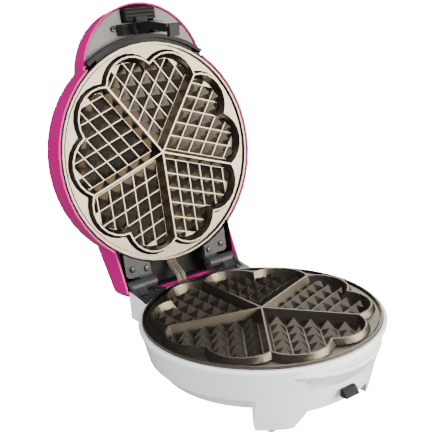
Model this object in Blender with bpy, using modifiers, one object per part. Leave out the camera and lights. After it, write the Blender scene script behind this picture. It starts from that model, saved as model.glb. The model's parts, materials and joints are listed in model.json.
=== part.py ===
"""A five-heart waffle maker, standing open: a white base, a magenta lid and a sprung front latch.

Metres, +Z up, front at -Y. Every piece is drawn with the lid shut, in the assembly's own coordinates. Their
origin is the centre of the baking plates on the mating plane, where the two plates meet. Empties then lift
the assembly onto its feet, swing the lid open about the hinge pins, and carry the latch on its own pin.
"""

import math

import bmesh
import bpy
from mathutils import Matrix, Vector

# ---------------------------------------------------------------- fineness
SEGMENTS = 48  # sides of a large round piece
SMALL_SEGMENTS = 16  # sides of a pin, boss or lens
LOBE_SEGMENTS = 8  # straight pieces in each lobe of a heart

# ---------------------------------------------------------------- clearances
GAP = 0.0003  # between pieces that touch
RUN = 0.0008  # between pieces that pass each other
REACH = 0.004  # how far a cutter runs past the face that it cuts

# ---------------------------------------------------------------- baking plates
PLATE_RADIUS = 0.110
PLATE_GAP = 0.0010  # between the two plates' walls when shut
POCKET_DEPTH = 0.0090
FLOOR_THICKNESS = 0.0032
FLANGE_DROP = 0.0048  # flat overflow rim, below the wall tops
RIM_DROP = 0.0029  # raised outer rim, below the wall tops
RIM_WIDTH = 0.0017
GROOVE_WIDTH = 0.0022
GROOVE_DEPTH = 0.0016
FLANGE_MARGIN = 0.0009  # flange left between the groove and the widest lobe
HEARTS = 5
WALL_WIDTH = 0.0015
WALL_FOOT = 0.0032  # how far a wall's outer foot stands out from its top
LOBE_ROUNDNESS = 0.3137  # a lobe's radius as a share of the whole flower's
POCKET_DRAFT = 0.0041  # how far a pocket's wall leans in between top and floor
GRID_PITCH = 0.0153
STRIP_WIDTH = 0.0009
FENCE_INSET = 0.0003  # pyramids are trimmed this far inside the pocket's floor
PYRAMID_HEIGHT = 0.0065
PART_PYRAMID = 0.30  # a cell's centre may lie this far past the lobe, as a share of the pitch
PYRAMID_SINK = 0.0003  # how far each pyramid is carried below the pocket's floor

# ---------------------------------------------------------------- base
BASE_HEIGHT = 0.070  # mating plane above the table
BASE_WALL = 0.0024
LIP_TOP = -0.0055
LIP_WIDTH = 0.0035
LIP_DEPTH = 0.0035
LIP_STEP = 0.0013
WALL_TAPER = 0.23
DRUM_BOTTOM = -0.0358
TIER_STEP = 0.0040
TIER_TAPER = 0.50
TIER_BOTTOM = -0.0478
SHELF_OVERHANG = 0.0105  # front shelf's reach past the plate
SHELF_RADIUS = 0.0732
SHELF_LIP = -0.0140
APRON_BOTTOM = -0.0520
LEG_THICKNESS = 0.0100
FRONT_LEG_OUTER = 0.0735
FRONT_LEG_INNER = 0.0475
REAR_LEG_OUTER = 0.0510
REAR_LEG_INNER = 0.0340
FOOT_THICKNESS = 0.0014
FOOT_RADIUS = 0.0040
COVER_THICKNESS = 0.0020
COVER_FLANGE = 0.0060
BASE_TAIL_TOP = -0.0102
BASE_TAIL_DEPTH = 0.0203
BASE_TAIL_FRONT = 0.060  # where the tail starts, inside the drum
BASE_TAIL_CORNER = (0.0084, 0.0072)  # width and length cut off each rear corner
WING_TOP = -0.0015  # rear end of the low walls along the tail's two sides
WING_THICKNESS = 0.0012
WING_SETBACK = 0.0053  # wings end in front of the hinge axis by this much
WING_INSET = 0.0001

# ---------------------------------------------------------------- lid
LID_OPEN_ANGLE = math.radians(98.8)
LID_WALL = 0.0018
LID_LIP = 0.0040
LID_EDGE = 0.0346  # where the side wall turns into the roof
LID_TOP = 0.0430
LID_TAPER = 0.062
LID_EDGE_ROUND = 0.0008
LOBE_REACH = 0.040  # front lobe's reach past the plate
LOBE_SHELL_RADIUS = 0.071
LOBE_LIP = 0.0090
LOBE_TOP = 0.0410
TAIL_HALF_WIDTH = 0.071
TAIL_REAR = 0.0090  # tail's reach behind the hinge axis
TAIL_EDGE_HEIGHT = 0.0160
TAIL_CORNER = (0.0050, 0.0055)  # width and length cut off each rear corner
LINER_TOP = 0.0120
HINGE_PAD_TOP = 0.0150
ARC_WALL_WIDTH = 0.0040
ARC_WALL_PAST = math.radians(1.0)  # how far its ends run out under the lobe's rim
ARC_WEB_SETBACK = math.radians(5.3)
LOBE_PLATE_THICKNESS = 0.0018

# ---------------------------------------------------------------- hinges
HINGE_SETBACK = 0.0155  # hinge axis behind the plate's edge
BARREL_RADIUS = 0.0060
PIN_RADIUS = 0.0022
HINGE_INNER = 0.0345  # inner end of each hinge, from the middle
HINGE_OUTER = 0.0635
HINGE_SPLIT = 0.0490  # where the lid's barrel meets the base's
CHEEK_WIDTH = 0.0032
LEAF_BOTTOM = 0.0030
LEAF_THICKNESS = 0.0030
BRACKET_TOP = -0.0050

# ---------------------------------------------------------------- latch
LATCH_AXIS_HEIGHT = 0.0030
LATCH_AXIS_REACH = 0.0035  # latch axis in front of the base shelf
LATCH_BOSS = 0.0050
LATCH_PIN_RADIUS = 0.0015
SPRING_WIRE = 0.00035
SPRING_TURNS = 2
LEVER_HALF_WIDTH = 0.0055
BOSS_HALF_WIDTH = 0.0080
CHEEK_THICKNESS = 0.0042
BRACKET_HALF_WIDTH = 0.0260
THUMB_HALF_WIDTH = 0.0170
CATCH_HALF_WIDTH = 0.0080
CATCH_TOP = -0.0375
CATCH_BOTTOM = -0.0445
CATCH_REACH = 0.0080

# ---------------------------------------------------------------- heating and wiring
ELEMENT_INSET = 0.048
ELEMENT_RADIUS = 0.0032
REFLECTOR_INSET = 0.018
REFLECTOR_DROP = 0.0085  # reflector below the plate's underside
REFLECTOR_THICKNESS = 0.0008
LEAD_RADIUS = 0.0025
LEAD_SPACING = 0.0058
LAMP_RADIUS = 0.0040
LAMP_SPREAD = 0.0140
GLAND_RADIUS = 0.0048
SCREW_HEAD = 0.0031
SCREW_SHANK = 0.0014

# ---------------------------------------------------------------- worked out from the above
LIP_RADIUS = PLATE_RADIUS + GAP + LIP_WIDTH
FLOWER_RADIUS = PLATE_RADIUS - RIM_WIDTH - GROOVE_WIDTH - FLANGE_MARGIN - WALL_FOOT
LOBE_RADIUS = FLOWER_RADIUS * LOBE_ROUNDNESS
LOBE_CENTRE = FLOWER_RADIUS - LOBE_RADIUS
SHELF_FRONT = PLATE_RADIUS + SHELF_OVERHANG
SHELF_CENTRE = SHELF_FRONT - SHELF_RADIUS
LEG_BOTTOM = GAP + FOOT_THICKNESS - BASE_HEIGHT
HINGE_Y = PLATE_RADIUS + HINGE_SETBACK
LID_RADIUS = LIP_RADIUS
LID_SLOPE = LID_TAPER + LID_EDGE_ROUND / (LID_EDGE - LID_WALL - LID_LIP)
LID_LOBE_CENTRE = PLATE_RADIUS + LOBE_REACH - LOBE_SHELL_RADIUS
TAIL_BACK = HINGE_Y + TAIL_REAR
BASE_TAIL_HALF_WIDTH = TAIL_HALF_WIDTH - LID_WALL - RUN
BASE_TAIL_BACK = HINGE_Y + 0.0020
UNDERSIDE = -POCKET_DEPTH - FLOOR_THICKNESS
UPPER_UNDERSIDE = PLATE_GAP - UNDERSIDE
LATCH_Y = -SHELF_FRONT - LATCH_AXIS_REACH
HALF_STEP = math.pi / (2 * HEARTS)
LOBE_SIDE = LOBE_CENTRE * math.sin(HALF_STEP)
LOBE_ALONG = LOBE_CENTRE * math.cos(HALF_STEP)


def drum_radius(z):
    """Outer radius of the base's tapering wall at height z."""
    return LIP_RADIUS - LIP_STEP + WALL_TAPER * (z - LIP_TOP + LIP_DEPTH)


# ---------------------------------------------------------------- scene and helpers
def clear_scene():
    for obj in list(bpy.data.objects):
        bpy.data.objects.remove(obj, do_unlink=True)


clear_scene()
PARTS = bpy.data.collections.new("waffle_maker")
CUTTERS = bpy.data.collections.new("cutters")
bpy.context.scene.collection.children.link(PARTS)
bpy.context.scene.collection.children.link(CUTTERS)


def material(name, colour, roughness, metallic=0.0):
    mat = bpy.data.materials.new(name)
    mat.use_nodes = True
    shader = mat.node_tree.nodes["Principled BSDF"]
    shader.inputs["Base Color"].default_value = (*colour, 1.0)
    shader.inputs["Roughness"].default_value = roughness
    shader.inputs["Metallic"].default_value = metallic
    return mat


WHITE = material("white_plastic", (0.86, 0.88, 0.90), 0.35)
MAGENTA = material("magenta_gloss", (0.56, 0.01, 0.20), 0.15)
BLACK = material("black_plastic", (0.012, 0.012, 0.014), 0.40)
GREY = material("grey_plate", (0.30, 0.30, 0.29), 0.45)
HINGE_GREY = material("hinge_grey", (0.09, 0.095, 0.10), 0.45, 0.6)
NONSTICK = material("nonstick_bronze", (0.28, 0.25, 0.21), 0.38, 0.8)
STEEL = material("steel", (0.55, 0.55, 0.55), 0.30, 1.0)
SCREW_METAL = material("dark_screw", (0.08, 0.08, 0.08), 0.35, 1.0)
ALUMINIUM = material("aluminium", (0.75, 0.75, 0.76), 0.35, 1.0)
RUBBER = material("rubber", (0.03, 0.03, 0.03), 0.80)
SLEEVE = material("lead_sleeve", (0.45, 0.39, 0.31), 0.50)
RED_LENS = material("red_lens", (0.55, 0.02, 0.02), 0.10)
GREEN_LENS = material("green_lens", (0.03, 0.40, 0.08), 0.10)
CERAMIC = material("ceramic", (0.78, 0.74, 0.66), 0.60)


def empty(name, location, parent=None):
    obj = bpy.data.objects.new(name, None)
    obj.location = location
    obj.parent = parent
    PARTS.objects.link(obj)
    return obj


# The open lid reaches further back than the base reaches forward, so the assembly sits forward of the origin.
LID_REACH_BACK = (
    HINGE_Y
    - math.cos(LID_OPEN_ANGLE) * (HINGE_Y + PLATE_RADIUS + LOBE_REACH)
    + math.sin(LID_OPEN_ANGLE) * (LOBE_TOP - 0.0045)
)
ASSEMBLY_SHIFT = (LID_REACH_BACK - SHELF_FRONT) / 2
BASE = empty("base_frame", (0, -ASSEMBLY_SHIFT, BASE_HEIGHT))
LID = empty("lid_frame", (0, HINGE_Y, 0), BASE)
LID.rotation_euler.x = -LID_OPEN_ANGLE
LATCH = empty("latch_frame", (0, LATCH_Y - HINGE_Y, LATCH_AXIS_HEIGHT), LID)
OFFSETS = {
    BASE.name: Vector((0, 0, 0)),
    LID.name: Vector((0, -HINGE_Y, 0)),
    LATCH.name: Vector((0, -LATCH_Y, -LATCH_AXIS_HEIGHT)),
}


def add(name, mesh, frame, mat=None):
    """A mesh in the shut assembly's coordinates, carried by one frame. No material makes it a cutter."""
    obj = bpy.data.objects.new(name, mesh)
    obj.parent = frame
    obj.location = OFFSETS[frame.name]
    if mat is None:
        CUTTERS.objects.link(obj)
        obj.hide_render = True
        obj.display_type = "WIRE"
    else:
        PARTS.objects.link(obj)
        mesh.materials.append(mat)
    return obj


def boolean(target, tool, operation="DIFFERENCE"):
    step = target.modifiers.new(tool.name, "BOOLEAN")
    step.operation = operation
    step.object = tool


def join(target, *tools):
    for tool in tools:
        boolean(target, tool, "UNION")


def cut(target, *tools):
    for tool in tools:
        boolean(target, tool)


def finish(bm, name):
    mesh = bpy.data.meshes.new(name)
    bm.to_mesh(mesh)
    bm.free()
    return mesh


def turned(name, profile, frame, mat=None, segments=SEGMENTS, centre=(0, 0), closed=False):
    """A profile of (radius, z) points, outer side listed top to bottom, turned about a vertical line."""
    bm = bmesh.new()
    points = [bm.verts.new((radius, 0, z)) for radius, z in profile]
    for first, second in zip(points, points[1:]):
        bm.edges.new((first, second))
    if closed:
        bm.edges.new((points[-1], points[0]))
    obj = add(name, finish(bm, name), frame, mat)
    obj.location += Vector((centre[0], centre[1], 0))
    screw = obj.modifiers.new("turn", "SCREW")
    screw.steps = segments
    screw.render_steps = segments
    screw.use_merge_vertices = True
    screw.merge_threshold = 0.00001
    screw.use_smooth_shade = False
    return obj


def ring(name, inner, outer, low, high, frame, mat=None, centre=(0, 0), segments=SEGMENTS):
    profile = [(outer, high), (outer, low), (inner, low), (inner, high)]
    return turned(name, profile, frame, mat, segments, centre, closed=True)


def disc(name, radius, low, high, frame, mat=None, centre=(0, 0), segments=SEGMENTS):
    profile = [(0, high), (radius, high), (radius, low), (0, low)]
    return turned(name, profile, frame, mat, segments, centre)


def box(name, low, high, frame, mat=None, bevel=0.0, turn=0.0):
    """A box from its lowest to its highest corner, then turned about the assembly's vertical axis."""
    bm = bmesh.new()
    bmesh.ops.create_cube(bm, size=1.0)
    size = Vector(high) - Vector(low)
    middle = (Vector(high) + Vector(low)) / 2
    bmesh.ops.scale(bm, vec=size, verts=bm.verts)
    bmesh.ops.translate(bm, vec=middle, verts=bm.verts)
    bmesh.ops.rotate(bm, cent=(0, 0, 0), matrix=Matrix.Rotation(turn, 3, "Z"), verts=bm.verts)
    obj = add(name, finish(bm, name), frame, mat)
    if bevel:
        add_bevel(obj, bevel)
    return obj


def add_bevel(obj, width, segments=1, angle=math.radians(40)):
    step = obj.modifiers.new("soft_edges", "BEVEL")
    step.width = width
    step.segments = segments
    step.limit_method = "ANGLE"
    step.angle_limit = angle


def rod(name, start, end, radius, frame, mat=None, segments=SMALL_SEGMENTS):
    """A round bar between two points."""
    start = Vector(start)
    end = Vector(end)
    along = end - start
    bm = bmesh.new()
    bmesh.ops.create_cone(
        bm, cap_ends=True, segments=segments, radius1=radius, radius2=radius, depth=along.length
    )
    turn = along.to_track_quat("Z", "Y").to_matrix().to_4x4()
    bmesh.ops.transform(bm, matrix=Matrix.Translation((start + end) / 2) @ turn, verts=bm.verts)
    return add(name, finish(bm, name), frame, mat)


def extruded(bm, points, step):
    """Adds the solid that a flat outline sweeps along a straight step."""
    face = bm.faces.new([bm.verts.new(point) for point in points])
    bm.normal_update()
    if face.normal.dot(step) > 0:
        face.normal_flip()
    swept = bmesh.ops.extrude_face_region(bm, geom=[face])["geom"]
    moved = [item for item in swept if isinstance(item, bmesh.types.BMVert)]
    bmesh.ops.translate(bm, vec=step, verts=moved)
    bmesh.ops.recalc_face_normals(bm, faces=bm.faces)


def plan_solid(name, outline, low, high, frame, mat=None):
    """An outline seen from above, between two heights."""
    bm = bmesh.new()
    extruded(bm, [(x, y, low) for x, y in outline], Vector((0, 0, high - low)))
    return add(name, finish(bm, name), frame, mat)


def side_solid(name, outline, left, right, frame, mat=None):
    """An outline of (y, z) points seen from the side, between two x positions."""
    bm = bmesh.new()
    extruded(bm, [(left, y, z) for y, z in outline], Vector((right - left, 0, 0)))
    return add(name, finish(bm, name), frame, mat)


def front_solid(name, outline, front, back, frame, mat=None):
    """An outline of (x, z) points seen from the front, between two y positions."""
    bm = bmesh.new()
    extruded(bm, [(x, front, z) for x, z in outline], Vector((0, back - front, 0)))
    return add(name, finish(bm, name), frame, mat)


def lofted(bm, lower, upper, low, high):
    """Adds the solid between two outlines that have the same number of points."""
    edges = []
    for outline, z in ((lower, low), (upper, high)):
        points = [bm.verts.new((x, y, z)) for x, y in outline]
        face = bm.faces.new(points)
        edges += list(face.edges)
    bmesh.ops.bridge_loops(bm, edges=edges)
    bmesh.ops.recalc_face_normals(bm, faces=bm.faces)


def arc(centre, radius, start, end, segments):
    """Points along an arc, angles in radians."""
    steps = [start + (end - start) * i / segments for i in range(segments + 1)]
    return [(centre[0] + radius * math.cos(a), centre[1] + radius * math.sin(a)) for a in steps]


def sector(inner, outer, start, end, segments):
    return arc((0, 0), outer, start, end, segments) + arc((0, 0), inner, end, start, segments)


def turn_outline(outline, angle):
    c = math.cos(angle)
    s = math.sin(angle)
    return [(c * x - s * y, s * x + c * y) for x, y in outline]


# ---------------------------------------------------------------- baking plates
def flower_outline(radius):
    """Ten lobes round the plate, each an arc that meets its neighbours."""
    along = math.sqrt(radius**2 - LOBE_SIDE**2)
    half = math.atan2((LOBE_ALONG + along) * math.sin(HALF_STEP),
                      (LOBE_ALONG + along) * math.cos(HALF_STEP) - LOBE_CENTRE)
    points = []
    for lobe in range(2 * HEARTS):
        middle = math.pi / 2 + (2 * lobe + 1) * HALF_STEP
        centre = (LOBE_CENTRE * math.cos(middle), LOBE_CENTRE * math.sin(middle))
        points += arc(centre, radius, middle - half, middle + half, LOBE_SEGMENTS)[:-1]
    return points


def heart_outline(inset):
    """One heart-shaped pocket with its point at the plate's centre and its axis along +X."""
    radius = LOBE_RADIUS - WALL_WIDTH - inset
    side = WALL_WIDTH / 2 + inset
    edge = 2 * HALF_STEP
    start = edge + math.atan2(LOBE_SIDE - side, math.sqrt(radius**2 - (LOBE_SIDE - side) ** 2))
    cusp = -math.atan2(LOBE_SIDE, math.sqrt(radius**2 - LOBE_SIDE**2))
    upper = arc((LOBE_ALONG, LOBE_SIDE), radius, start, cusp, LOBE_SEGMENTS)
    lower = [(x, -y) for x, y in reversed(upper)]
    return [(side / math.sin(edge), 0)] + upper[:-1] + lower


def heart_angle(heart):
    return math.pi / 2 + (2 * heart + 1) * 2 * HALF_STEP


def pyramid_field(heart):
    """Four-sided pyramids on a slanted grid whose lines run along the two straight sides of the heart."""
    edge = 2 * HALF_STEP
    side = WALL_WIDTH / 2 + POCKET_DRAFT
    first = Vector((math.cos(edge), math.sin(edge)))
    second = Vector((math.cos(edge), -math.sin(edge)))
    point = Vector((side / math.sin(edge), 0))
    height = PYRAMID_HEIGHT + PYRAMID_SINK
    width = (GRID_PITCH - STRIP_WIDTH / math.sin(2 * edge)) * height / PYRAMID_HEIGHT
    bm = bmesh.new()
    rows = int(FLOWER_RADIUS / GRID_PITCH)
    part_cell = GRID_PITCH * PART_PYRAMID
    for i in range(rows):
        for j in range(rows):
            middle = point + GRID_PITCH * ((i + 0.5) * first + (j + 0.5) * second)
            from_lobe = math.hypot(middle.x - LOBE_ALONG, abs(middle.y) - LOBE_SIDE)
            if middle.x > LOBE_ALONG and from_lobe > LOBE_RADIUS - WALL_WIDTH - POCKET_DRAFT + part_cell:
                continue
            made = bmesh.ops.create_cone(
                bm, cap_ends=True, segments=4, radius1=math.sqrt(0.5), radius2=0.0, depth=1.0
            )["verts"]
            bmesh.ops.rotate(bm, cent=(0, 0, 0), matrix=Matrix.Rotation(math.pi / 4, 3, "Z"), verts=made)
            shape = Matrix((
                (width * first.x, width * second.x, 0, middle.x),
                (width * first.y, width * second.y, 0, middle.y),
                (0, 0, height, height / 2 - POCKET_DEPTH - PYRAMID_SINK),
                (0, 0, 0, 1),
            ))
            bmesh.ops.transform(bm, matrix=shape, verts=made)
    bmesh.ops.recalc_face_normals(bm, faces=bm.faces)
    bmesh.ops.rotate(bm, cent=(0, 0, 0), matrix=Matrix.Rotation(heart_angle(heart), 3, "Z"), verts=bm.verts)
    return bm


def plate_profile():
    groove_outer = PLATE_RADIUS - RIM_WIDTH
    groove_inner = groove_outer - GROOVE_WIDTH
    return [
        (0, -FLANGE_DROP),
        (groove_inner, -FLANGE_DROP),
        (groove_inner + 0.0004, -FLANGE_DROP - GROOVE_DEPTH),
        (groove_outer - 0.0003, -FLANGE_DROP - GROOVE_DEPTH),
        (groove_outer, -RIM_DROP),
        (PLATE_RADIUS, -RIM_DROP),
        (PLATE_RADIUS, UNDERSIDE),
        (0, UNDERSIDE),
    ]


def baking_plate(name, frame):
    """The plate drawn as the lower one, with its pockets open to +Z."""
    plate = turned(name, plate_profile(), frame, NONSTICK)
    bm = bmesh.new()
    lofted(bm, flower_outline(LOBE_RADIUS + WALL_FOOT), flower_outline(LOBE_RADIUS), -FLANGE_DROP - 0.0006, 0)
    walls = add(name + "_walls", finish(bm, name + "_walls"), frame)
    join(plate, walls)
    tools = [walls]
    slope = POCKET_DRAFT / POCKET_DEPTH
    above = 0.001
    for heart in range(HEARTS):
        angle = heart_angle(heart)
        bm = bmesh.new()
        lofted(
            bm,
            turn_outline(heart_outline(POCKET_DRAFT), angle),
            turn_outline(heart_outline(-slope * above), angle),
            -POCKET_DEPTH,
            above,
        )
        pocket = add(f"{name}_pocket_{heart}", finish(bm, "pocket"), frame)
        cut(plate, pocket)
        field = add(f"{name}_pyramids_{heart}", finish(pyramid_field(heart), "pyramids"), frame)
        fence = plan_solid(
            f"{name}_fence_{heart}",
            turn_outline(heart_outline(POCKET_DRAFT + FENCE_INSET), angle),
            -POCKET_DEPTH - REACH / 4,
            0,
            frame,
        )
        boolean(field, fence, "INTERSECT")
        join(plate, field)
        tools += [pocket, field, fence]
    return plate, tools


def make_plates():
    baking_plate("lower_plate", BASE)
    upper, tools = baking_plate("upper_plate", LID)
    for obj in [upper] + tools:
        obj.rotation_euler.y = math.pi
        obj.location.z += PLATE_GAP


# ---------------------------------------------------------------- base
def make_base_shell():
    shell = turned(
        "base_shell",
        [
            (0, LIP_TOP),
            (LIP_RADIUS - 0.0011, LIP_TOP),
            (LIP_RADIUS, LIP_TOP - 0.0014),
            (LIP_RADIUS, LIP_TOP - LIP_DEPTH),
            (drum_radius(LIP_TOP - LIP_DEPTH), LIP_TOP - LIP_DEPTH - 0.0006),
            (drum_radius(DRUM_BOTTOM), DRUM_BOTTOM),
            (drum_radius(DRUM_BOTTOM) - TIER_STEP, DRUM_BOTTOM - 0.0008),
            (tier_radius(TIER_BOTTOM), TIER_BOTTOM),
            (0, TIER_BOTTOM),
        ],
        BASE,
        WHITE,
    )
    shelf = turned(
        "shelf",
        [
            (0, LIP_TOP - 0.0031),
            (SHELF_RADIUS - 0.0072, LIP_TOP - 0.0055),
            (SHELF_RADIUS - 0.0012, LIP_TOP - 0.0071),
            (SHELF_RADIUS, SHELF_LIP),
            (SHELF_RADIUS - 0.0006, SHELF_LIP - 0.0020),
            (SHELF_RADIUS - 0.0110, SHELF_LIP - 0.0160),
            (0, SHELF_LIP - 0.0160),
        ],
        BASE,
        centre=(0, -SHELF_CENTRE),
    )
    tail = plan_solid("base_tail", tail_plan(0), BASE_TAIL_TOP - BASE_TAIL_DEPTH, BASE_TAIL_TOP, BASE)
    add_bevel(tail, 0.0015)
    join(shell, shelf, tail, front_legs())
    for side in (-1, 1):
        join(shell, rear_leg(side), tail_wing(side))
    cut(shell, base_cavity(), shelf_cavity(), tail_cavity(), lead_slot(), catch_slot(), gland_hole())
    for number in range(4):
        join(shell, screw_rib(number))
        cut(shell, cover_screw_hole(number, "rib_hole", DRUM_BOTTOM))


def tail_plan(inset):
    """The tail seen from above, with its two rear corners cut off."""
    half = BASE_TAIL_HALF_WIDTH - inset
    back = BASE_TAIL_BACK - inset
    width, length = BASE_TAIL_CORNER
    right = [(half - width, back), (half, back - length), (half, BASE_TAIL_FRONT)]
    return [(-x, y) for x, y in reversed(right)] + right


def tail_wing(side):
    """A low wall along one side of the tail, rising from the drum's lip to the hinge."""
    rear = HINGE_Y - WING_SETBACK
    front = math.sqrt((PLATE_RADIUS + LIP_WIDTH / 2) ** 2 - BASE_TAIL_HALF_WIDTH**2)
    foot = BASE_TAIL_TOP - 2 * WING_THICKNESS
    outer = side * (BASE_TAIL_HALF_WIDTH - WING_INSET)
    inner = side * (BASE_TAIL_HALF_WIDTH - WING_INSET - WING_THICKNESS)
    outline = [
        (front, foot),
        (rear, foot),
        (rear, WING_TOP - 0.0008),
        (rear - 0.0008, WING_TOP),
        (front, LIP_TOP - 0.0010),
    ]
    return side_solid(f"tail_wing_{side}", outline, min(outer, inner), max(outer, inner), BASE)


def tier_radius(z):
    return drum_radius(DRUM_BOTTOM) - TIER_STEP + TIER_TAPER * (z - DRUM_BOTTOM)


def front_legs():
    """The apron and the two front legs: the drum's own cone carried down, trimmed to its front outline."""
    top = DRUM_BOTTOM + 0.0015
    inner = tier_radius(TIER_BOTTOM) - BASE_WALL - COVER_FLANGE + 0.0012
    skirt = turned(
        "skirt",
        [
            (drum_radius(top) - GAP, top),
            (drum_radius(LEG_BOTTOM + 0.0012) - GAP, LEG_BOTTOM + 0.0012),
            (drum_radius(LEG_BOTTOM) - 0.0010, LEG_BOTTOM),
            (inner, LEG_BOTTOM),
            (inner, top),
        ],
        BASE,
        closed=True,
    )
    right = [
        (FRONT_LEG_OUTER - 0.0015, top - 0.0300),
        (FRONT_LEG_OUTER - 0.0070, LEG_BOTTOM - REACH),
        (FRONT_LEG_INNER - 0.0010, LEG_BOTTOM - REACH),
        (FRONT_LEG_INNER - 0.0125, APRON_BOTTOM),
    ]
    left = [(-x, z) for x, z in reversed(right)]
    outline = [(FRONT_LEG_OUTER, top + REACH)] + right + left + [(-FRONT_LEG_OUTER, top + REACH)]
    trim = front_solid("leg_trim", outline, -LIP_RADIUS - REACH, -FRONT_LEG_OUTER + REACH, BASE)
    boolean(skirt, trim, "INTERSECT")
    return skirt


def rear_leg(side):
    outline = [
        (REAR_LEG_INNER - 0.0020, BASE_TAIL_TOP - BASE_TAIL_DEPTH + 0.0010),
        (REAR_LEG_OUTER + 0.0020, BASE_TAIL_TOP - BASE_TAIL_DEPTH + 0.0010),
        (REAR_LEG_OUTER, LEG_BOTTOM),
        (REAR_LEG_INNER, LEG_BOTTOM),
    ]
    outline = [(side * x, z) for x, z in outline]
    middle = rear_foot_y()
    return front_solid(f"rear_leg_{side}", outline, middle - 0.0095, middle + 0.0095, BASE)


def rear_foot_y():
    return BASE_TAIL_BACK - 0.0125


def base_cavity():
    """The room for the plate, the heater and the wiring, open above and below."""
    flange = tier_radius(TIER_BOTTOM) - BASE_WALL
    return turned(
        "base_cavity",
        [
            (0, LIP_TOP + REACH),
            (PLATE_RADIUS + GAP, LIP_TOP + REACH),
            (PLATE_RADIUS + GAP, UNDERSIDE - 0.0010),
            (drum_radius(UNDERSIDE - 0.0020) - BASE_WALL, UNDERSIDE - 0.0020),
            (drum_radius(DRUM_BOTTOM) - BASE_WALL - 0.0010, DRUM_BOTTOM + BASE_WALL),
            (tier_radius(DRUM_BOTTOM) - BASE_WALL, DRUM_BOTTOM + BASE_WALL - 0.0020),
            (flange, TIER_BOTTOM + COVER_THICKNESS - GAP),
            (flange - COVER_FLANGE, TIER_BOTTOM + COVER_THICKNESS - GAP),
            (flange - COVER_FLANGE, TIER_BOTTOM - REACH),
            (0, TIER_BOTTOM - REACH),
        ],
        BASE,
    )


def shelf_cavity():
    return turned(
        "shelf_cavity",
        [
            (0, LIP_TOP - 0.0031 - BASE_WALL - 0.0030),
            (SHELF_RADIUS - 0.0090, LIP_TOP - 0.0071 - BASE_WALL),
            (SHELF_RADIUS - BASE_WALL, SHELF_LIP - 0.0008),
            (SHELF_RADIUS - BASE_WALL - 0.0100, SHELF_LIP - 0.0140),
            (0, SHELF_LIP - 0.0140),
        ],
        BASE,
        centre=(0, -SHELF_CENTRE),
    )


def tail_cavity():
    low = BASE_TAIL_TOP - BASE_TAIL_DEPTH + BASE_WALL
    return plan_solid("tail_cavity", tail_plan(BASE_WALL), low, BASE_TAIL_TOP - BASE_WALL, BASE)


def lead_slot():
    return box(
        "lead_slot",
        (-0.0120, LIP_RADIUS + GAP, BASE_TAIL_TOP - BASE_WALL - REACH),
        (0.0120, HINGE_Y - 0.0045, BASE_TAIL_TOP + REACH),
        BASE,
    )


def catch_slot():
    return box(
        "catch_slot",
        (-0.0050 - GAP, -LIP_RADIUS, CATCH_BOTTOM + 0.0015 - GAP),
        (0.0050 + GAP, -PLATE_RADIUS + 0.015, CATCH_TOP - 0.0015 + GAP),
        BASE,
    )


def gland_height():
    return BASE_TAIL_TOP - BASE_TAIL_DEPTH / 2


def gland_hole():
    z = gland_height()
    start = (0, BASE_TAIL_BACK - BASE_WALL - REACH, z)
    end = (0, BASE_TAIL_BACK + REACH, z)
    return rod("gland_hole", start, end, GLAND_RADIUS + GAP, BASE)


def cover_radius():
    return tier_radius(TIER_BOTTOM) - BASE_WALL - COVER_FLANGE - GAP


def screw_rib(number):
    """A rib on the wall that takes one of the bottom cover's screws."""
    radius = cover_radius()
    return box(
        f"screw_rib_{number}",
        (radius - 0.0120, -0.0055, TIER_BOTTOM + COVER_THICKNESS + GAP),
        (radius + COVER_FLANGE + BASE_WALL + GAP, 0.0055, DRUM_BOTTOM - 0.0012),
        BASE,
        turn=math.radians(45 + 90 * number),
    )


def cover_screw_at(number, z):
    angle = math.radians(45 + 90 * number)
    radius = cover_radius() - 0.0060
    return (radius * math.cos(angle), radius * math.sin(angle), z)


def cover_screw_hole(number, name, top):
    start = cover_screw_at(number, TIER_BOTTOM - REACH)
    return rod(f"{name}_{number}", start, cover_screw_at(number, top), SCREW_SHANK + GAP, BASE, segments=8)


def make_bottom_cover():
    low = TIER_BOTTOM
    cover = disc("bottom_cover", cover_radius(), low, low + COVER_THICKNESS, BASE, WHITE)
    for number in range(4):
        cut(cover, cover_screw_hole(number, "cover_hole", low + COVER_THICKNESS + REACH))
        screw(f"cover_screw_{number}", cover_screw_at(number, low - GAP), (0, 0, 1), 0.0070, BASE)


def make_feet():
    middle = drum_radius(LEG_BOTTOM) - LEG_THICKNESS / 2
    x = (FRONT_LEG_OUTER + FRONT_LEG_INNER) / 2 - 0.0035
    front = math.sqrt(middle**2 - x**2)
    for side, word in ((-1, "left"), (1, "right")):
        for name, foot_x, y in (
            ("foot_front_", x, -front),
            ("foot_rear_", (REAR_LEG_INNER + REAR_LEG_OUTER) / 2, rear_foot_y()),
        ):
            disc(
                name + word,
                FOOT_RADIUS,
                -BASE_HEIGHT,
                -BASE_HEIGHT + FOOT_THICKNESS,
                BASE,
                RUBBER,
                (side * foot_x, y),
                SMALL_SEGMENTS,
            )


def make_catch():
    back = -drum_radius(CATCH_TOP) - GAP
    outline = [
        (back, CATCH_TOP),
        (back - 0.0030, CATCH_TOP),
        (back - CATCH_REACH, CATCH_BOTTOM + 0.0008),
        (back - CATCH_REACH + 0.0006, CATCH_BOTTOM),
        (back, CATCH_BOTTOM),
    ]
    catch = side_solid("front_catch", outline, -CATCH_HALF_WIDTH, CATCH_HALF_WIDTH, BASE, BLACK)
    tab = box(
        "catch_tab",
        (-0.0050, back - 0.0010, CATCH_BOTTOM + 0.0015),
        (0.0050, back + 0.0070, CATCH_TOP - 0.0015),
        BASE,
    )
    join(catch, tab)


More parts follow.
